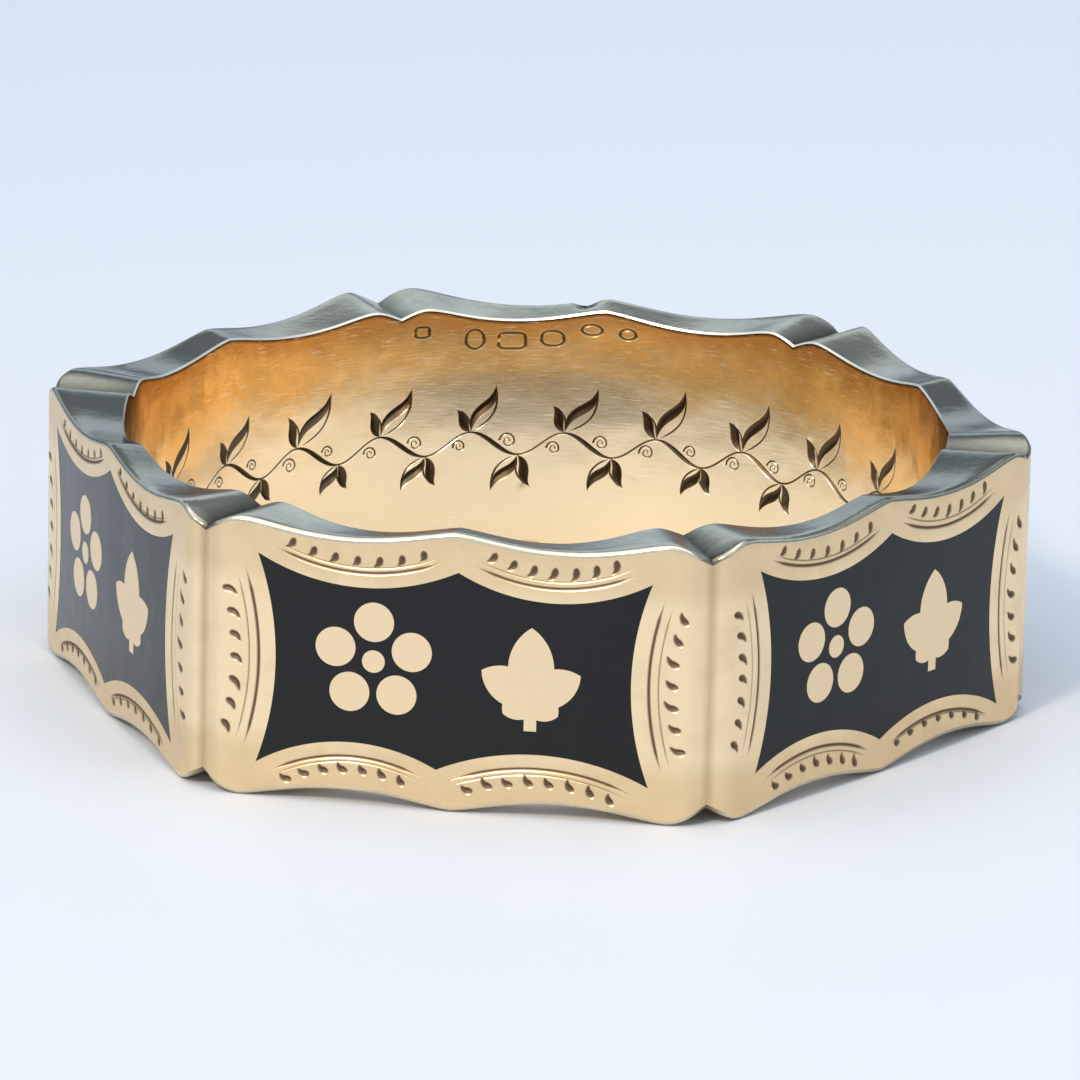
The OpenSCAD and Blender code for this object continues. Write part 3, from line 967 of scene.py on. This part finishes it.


# the outer sides: the same gold, hand polished and worn to a soft satin; small scratches run
# every way, dark dirt lies in the graver's cuts, and the line down each corner is painted darker
side_gold = material("worn_satin_gold_of_the_sides", gold("#f8ddb2", 0.28), [
    ("patches", "NOISE", "place", 1.3, 5.0, 0.6),
    ("film", "FADE", "patches", 0.45, 0.75, 0.0, 0.4),
    ("filmed", "COAT", "film", "#f8ddb2", "#d9bf93"),
    # browner where it was worked, above and below the fields
    ("up", "SUBTRACT", "z", MID_HEIGHT),
    ("off middle", "ABSOLUTE", "up"),
    ("worked", "SOFT FADE", "off middle", 1.5, 2.1, 0.0, 0.4),
    ("browner", "COAT", "worked", "filmed", "#d3b182"),
    *near_corner("darker corner line", 0.05, 0.45),
    ("grooved", "COAT", "darker corner line", "browner", "#9c8358"),
    ("dark", "FADE", "cut_depth", 0.001, 0.022, 0.0, 0.92),
    ("tone", "COAT", "dark", "grooved", "#6a5443"),
    ("dull", "FADE", "patches", 0.0, 1.0, 0.2, 0.4),
    ("roughness", "MULTIPLY_ADD", "dark", 0.3, "dull"),
    ("grain", "NOISE", "place", 9.0, 4.0, 0.7, 1.5),
    ("relief", "RELIEF", "grain", 0.003 * MM),
], measures=["cut_depth"])

# the gold left standing in the fields: stoned flush with the enamel, a paler, more even satin
motif_gold = material("stoned_gold_of_the_motifs", gold("#f3d7ae", 0.34), [
    ("grain", "NOISE", "place", 7.0, 4.0, 0.7),
    ("relief", "RELIEF", "grain", 0.003 * MM),
])

# the hole: bright from the finger, with short fine scratches round it, 0.5 mm long, painted
# pale as the glints along them; an orange and olive-brown tarnish below the upper rim where no
# finger rubs, a grey painted reflection of shade at the back, and brown dirt in the cuts
hole_gold = material("scratched_gold_of_the_hole", gold("#fee4b8", 0.16), [
    ("patches", "NOISE", "place", 0.7, 5.0, 0.62),
    ("ragged", "MULTIPLY_ADD", "patches", -1.6, "from_rim"),
    ("orange", "SOFT FADE", "ragged", 0.1, 1.5, 0.95, 0.0),
    ("tarnished", "COAT", "orange", "#ffe6bc", "#ffc97e"),
    ("blots", "NOISE", "place", 0.8, 5.0, 0.6),
    ("olive", "FADE", "blots", 0.42, 0.68, 0.0, 0.42),
    ("shore", "FADE", "from_rim", 1.4, 2.4, 1.0, 0.0),
    ("blot", "MULTIPLY", "olive", "shore"),
    ("blotted", "COAT", "blot", "tarnished", "#b89a5c"),
    # painted reflection: a grey belt at the back, about 7 mm long and 2 mm high, stands in for the
    # shaded floor inside the ring that this part of the hole mirrors
    ("from left", "ADD", "x", 1.6),
    ("off x", "DIVIDE", "from left", 3.8),
    ("from low", "SUBTRACT", "z", 3.75),
    ("off z", "DIVIDE", "from low", 0.95),
    ("off x sq", "MULTIPLY", "off x", "off x"),
    ("off sq", "MULTIPLY_ADD", "off z", "off z", "off x sq"),
    ("shade reflection belt", "SOFT FADE", "off sq", 0.1, 1.0, 0.5, 0.0),
    ("shade reflection painted", "COAT", "shade reflection belt", "blotted", "#9c8c70"),
    ("frayed", "MULTIPLY_ADD", "blots", -0.8, "from_rim"),
    ("band", "SOFT FADE", "frayed", -0.3, 0.2, 0.7, 0.0),
    ("banded", "COAT", "band", "shade reflection painted", "#e09c58"),
    # between the back and both ends the brown is wider and duller
    ("broad", "ABSOLUTE", "x"),
    ("begun", "FADE", "broad", 2.4, 6.2, 0.0, 0.45),
    ("ended", "FADE", "broad", 4.6, 7.0, 1.0, 0.0),
    ("aside", "MULTIPLY", "begun", "ended"),
    ("wide", "SOFT FADE", "frayed", 0.0, 0.6, 1.0, 0.0),
    ("both", "MULTIPLY", "aside", "wide"),
    ("browned", "COAT", "both", "banded", "#8f6c42"),
    ("hem", "FADE", "from_rim", 0.02, 0.09, 0.95, 0.0),
    ("hemmed", "COAT", "hem", "browned", "#3e2814"),
    *round_lines(0.45, 0.024),
    # painted highlight: the scratches are painted pale, standing in for the glints along them
    ("scratch glint", "FADE", "lines", 0.64, 0.71, 0.0, 0.85),
    ("scratch glints painted", "COAT", "scratch glint", "hemmed", "#fff4e0"),
    ("dark", "FADE", "cut_depth", 0.0005, 0.014, 0.0, 0.93),
    ("tone", "COAT", "dark", "scratch glints painted", "#44321f"),
    ("dull", "FADE", "blots", 0.0, 1.0, 0.04, 0.18),
    ("roughness", "MULTIPLY_ADD", "dark", 0.35, "dull"),
    ("fine", "RELIEF", "lines", 0.002 * MM),
    ("wavy", "NOISE", "place", 0.8, 2.0),
    ("relief", "RELIEF", "wavy", 0.03 * MM, "fine"),
], measures=["cut_depth", "from_rim"])

measures = {measure: np.concatenate(pile[measure]) for measure in ("cut_depth", "from_rim")}
finish = np.concatenate(pile["finish"])
band = solid("gold_band", np.vstack(pile["verts"]), np.vstack(pile["faces"]), finish, measures)
for surface in (rim_gold, bevel_gold_with_painted_highlight, side_gold, motif_gold, hole_gold):
    band.data.materials.append(surface)
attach(band, "root")
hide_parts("band")

# THE ENAMEL. Black glass, melted into the sunk cells and ground flush with the gold round
# it: a deep gloss, with the faint unevenness that stoning by hand and wear leave in it.
black = material("black_vitreous_enamel", {"Base Color": colour("#060708"), "IOR": 1.4}, [
    ("haze", "NOISE", "place", 1.2, 6.0, 0.7),
    ("roughness", "FADE", "haze", 0.35, 0.7, 0.05, 0.2),
    ("wavy", "NOISE", "place", 0.6, 2.0),
    ("waves", "RELIEF", "wavy", 0.03 * MM),
    ("pits", "NOISE", "place", 8.0, 3.0, 0.7),
    ("relief", "RELIEF", "pits", 0.0008 * MM, "waves"),
])

ENAMELS = ["front", "front_right", "back_right", "back", "back_left", "front_left"]
for name, (faces, walls, surface, floor_points) in zip(ENAMELS, enamel_parts):
    past = len(surface)
    verts = np.vstack([surface, floor_points])
    piece = solid("black_enamel_" + name, verts, np.vstack([faces, faces[:, ::-1] + past, walls]))
    piece.data.materials.append(black)
    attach(piece, "root")
    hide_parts("enamel_" + name)

# THE FLOOR, THE LIGHT AND THE CAMERA. A plain pale floor, a pale blue-white room, and a
# long lens at the photograph's angle.
bpy.ops.mesh.primitive_plane_add(size=2.0, location=(0, 0, 0))
floor = bpy.context.object
floor.name = "floor"
paper = bpy.data.materials.new("plain_pale_floor")
paper.use_nodes = True
skin = paper.node_tree.nodes["Principled BSDF"]
skin.inputs["Base Color"].default_value = colour("#dfdfe1")
skin.inputs["Roughness"].default_value = 0.6
floor.data.materials.append(paper)

# the room: bright overhead and in front; behind, one long pale band of window between a dark
# sill and a dark ceiling, which the rims mirror in their hollows
room = bpy.data.worlds.new("pale_room")
scene.world = room
room.use_nodes = True
tree = room.node_tree
way = add(tree, "ShaderNodeTexCoord").outputs["Generated"]
known = dict(zip("xyz", add(tree, "ShaderNodeSeparateXYZ", {0: way}).outputs))
wall = add(tree, "ShaderNodeValToRGB", {0: known["z"]})
# how high on the wall each shade is reached, as a sine
WALL = [(0.09, "#4f5c6c"), (0.2, "#b4cae2"), (0.44, "#c4dbef"), (0.54, "#5f6e82"), (0.9, "#76869a")]
for n, (height, shade) in enumerate(WALL):
    stop = wall.color_ramp.elements[n] if n < 2 else wall.color_ramp.elements.new(height)
    stop.position, stop.color = height, colour(shade)
known["wall"] = wall.outputs[0]
work_out(tree, [
    ("toward", "MULTIPLY", "y", -1.0),
    ("lit", "MULTIPLY_ADD", "z", 0.9, "toward"),
    ("bright", "FADE", "lit", 0.0, 0.7, 0.0, 1.0),
    ("tone", "COAT", "bright", "wall", "#d6e2ef"),
    # a skylight straight overhead, which lights the hole
    ("sky", "SOFT FADE", "z", 0.65, 0.95, 1.1, 2.3),
], known)
tree.links.new(known["tone"], tree.nodes["Background"].inputs["Color"])
tree.links.new(known["sky"], tree.nodes["Background"].inputs["Strength"])

# the key: one small, warm, strong lamp to the front left, whose pool of light ends softly
KEY_DISTANCE = 0.6
KEY_FROM = Vector((-0.37, -0.93, 0.9)).normalized() * KEY_DISTANCE
POOL = Vector((0.0, -0.028, 0.0))
lamp = bpy.data.lights.new("warm_key", "SPOT")
lamp.color = colour("#fff2e0")[:3]
lamp.energy = 11.3
lamp.shadow_soft_size = 0.07
lamp.spot_size = math.radians(15)
lamp.spot_blend = 1.0
key = bpy.data.objects.new("warm_key", lamp)
key.location = KEY_FROM
key.rotation_euler = (POOL - KEY_FROM).to_track_quat("-Z", "Y").to_euler()
scene.collection.objects.link(key)

# a camera found from the ring's corners, rims and fields in the photograph: degrees, then its
# focal length in pixels and its distance, its aim's height and its shifts in millimetres
AZIMUTH, ELEVATION, ROLL = (math.radians(v) for v in (9.726, 16.427, 1.263))
FOCAL_PIXELS, FRAME_PIXELS, SENSOR = 9033.5, 1080, 36.0
DISTANCE, AIM_HEIGHT, SHIFT_ACROSS, SHIFT_UP = 193.75, 2.98, 0.1285, 0.1112
back = Vector((
    math.sin(AZIMUTH) * math.cos(ELEVATION),
    -math.cos(AZIMUTH) * math.cos(ELEVATION),
    math.sin(ELEVATION),
))
level = (-back).cross(Vector((0, 0, 1))).normalized()
upright = level.cross(-back)
across = math.cos(ROLL) * level + math.sin(ROLL) * upright
upward = math.cos(ROLL) * upright - math.sin(ROLL) * level
lens = bpy.data.cameras.new("long_lens")
lens.sensor_width = SENSOR
lens.lens = FOCAL_PIXELS / FRAME_PIXELS * SENSOR
lens.clip_start, lens.clip_end = 0.005, 20.0
eye = bpy.data.objects.new("long_lens", lens)
place = (Vector((0, 0, AIM_HEIGHT)) + back * DISTANCE + across * SHIFT_ACROSS + upward * SHIFT_UP) * MM
eye.matrix_world = Matrix.Translation(place) @ Matrix((across, upward, back)).transposed().to_4x4()
scene.collection.objects.link(eye)
scene.camera = eye
scene.view_settings.view_transform = "Standard"
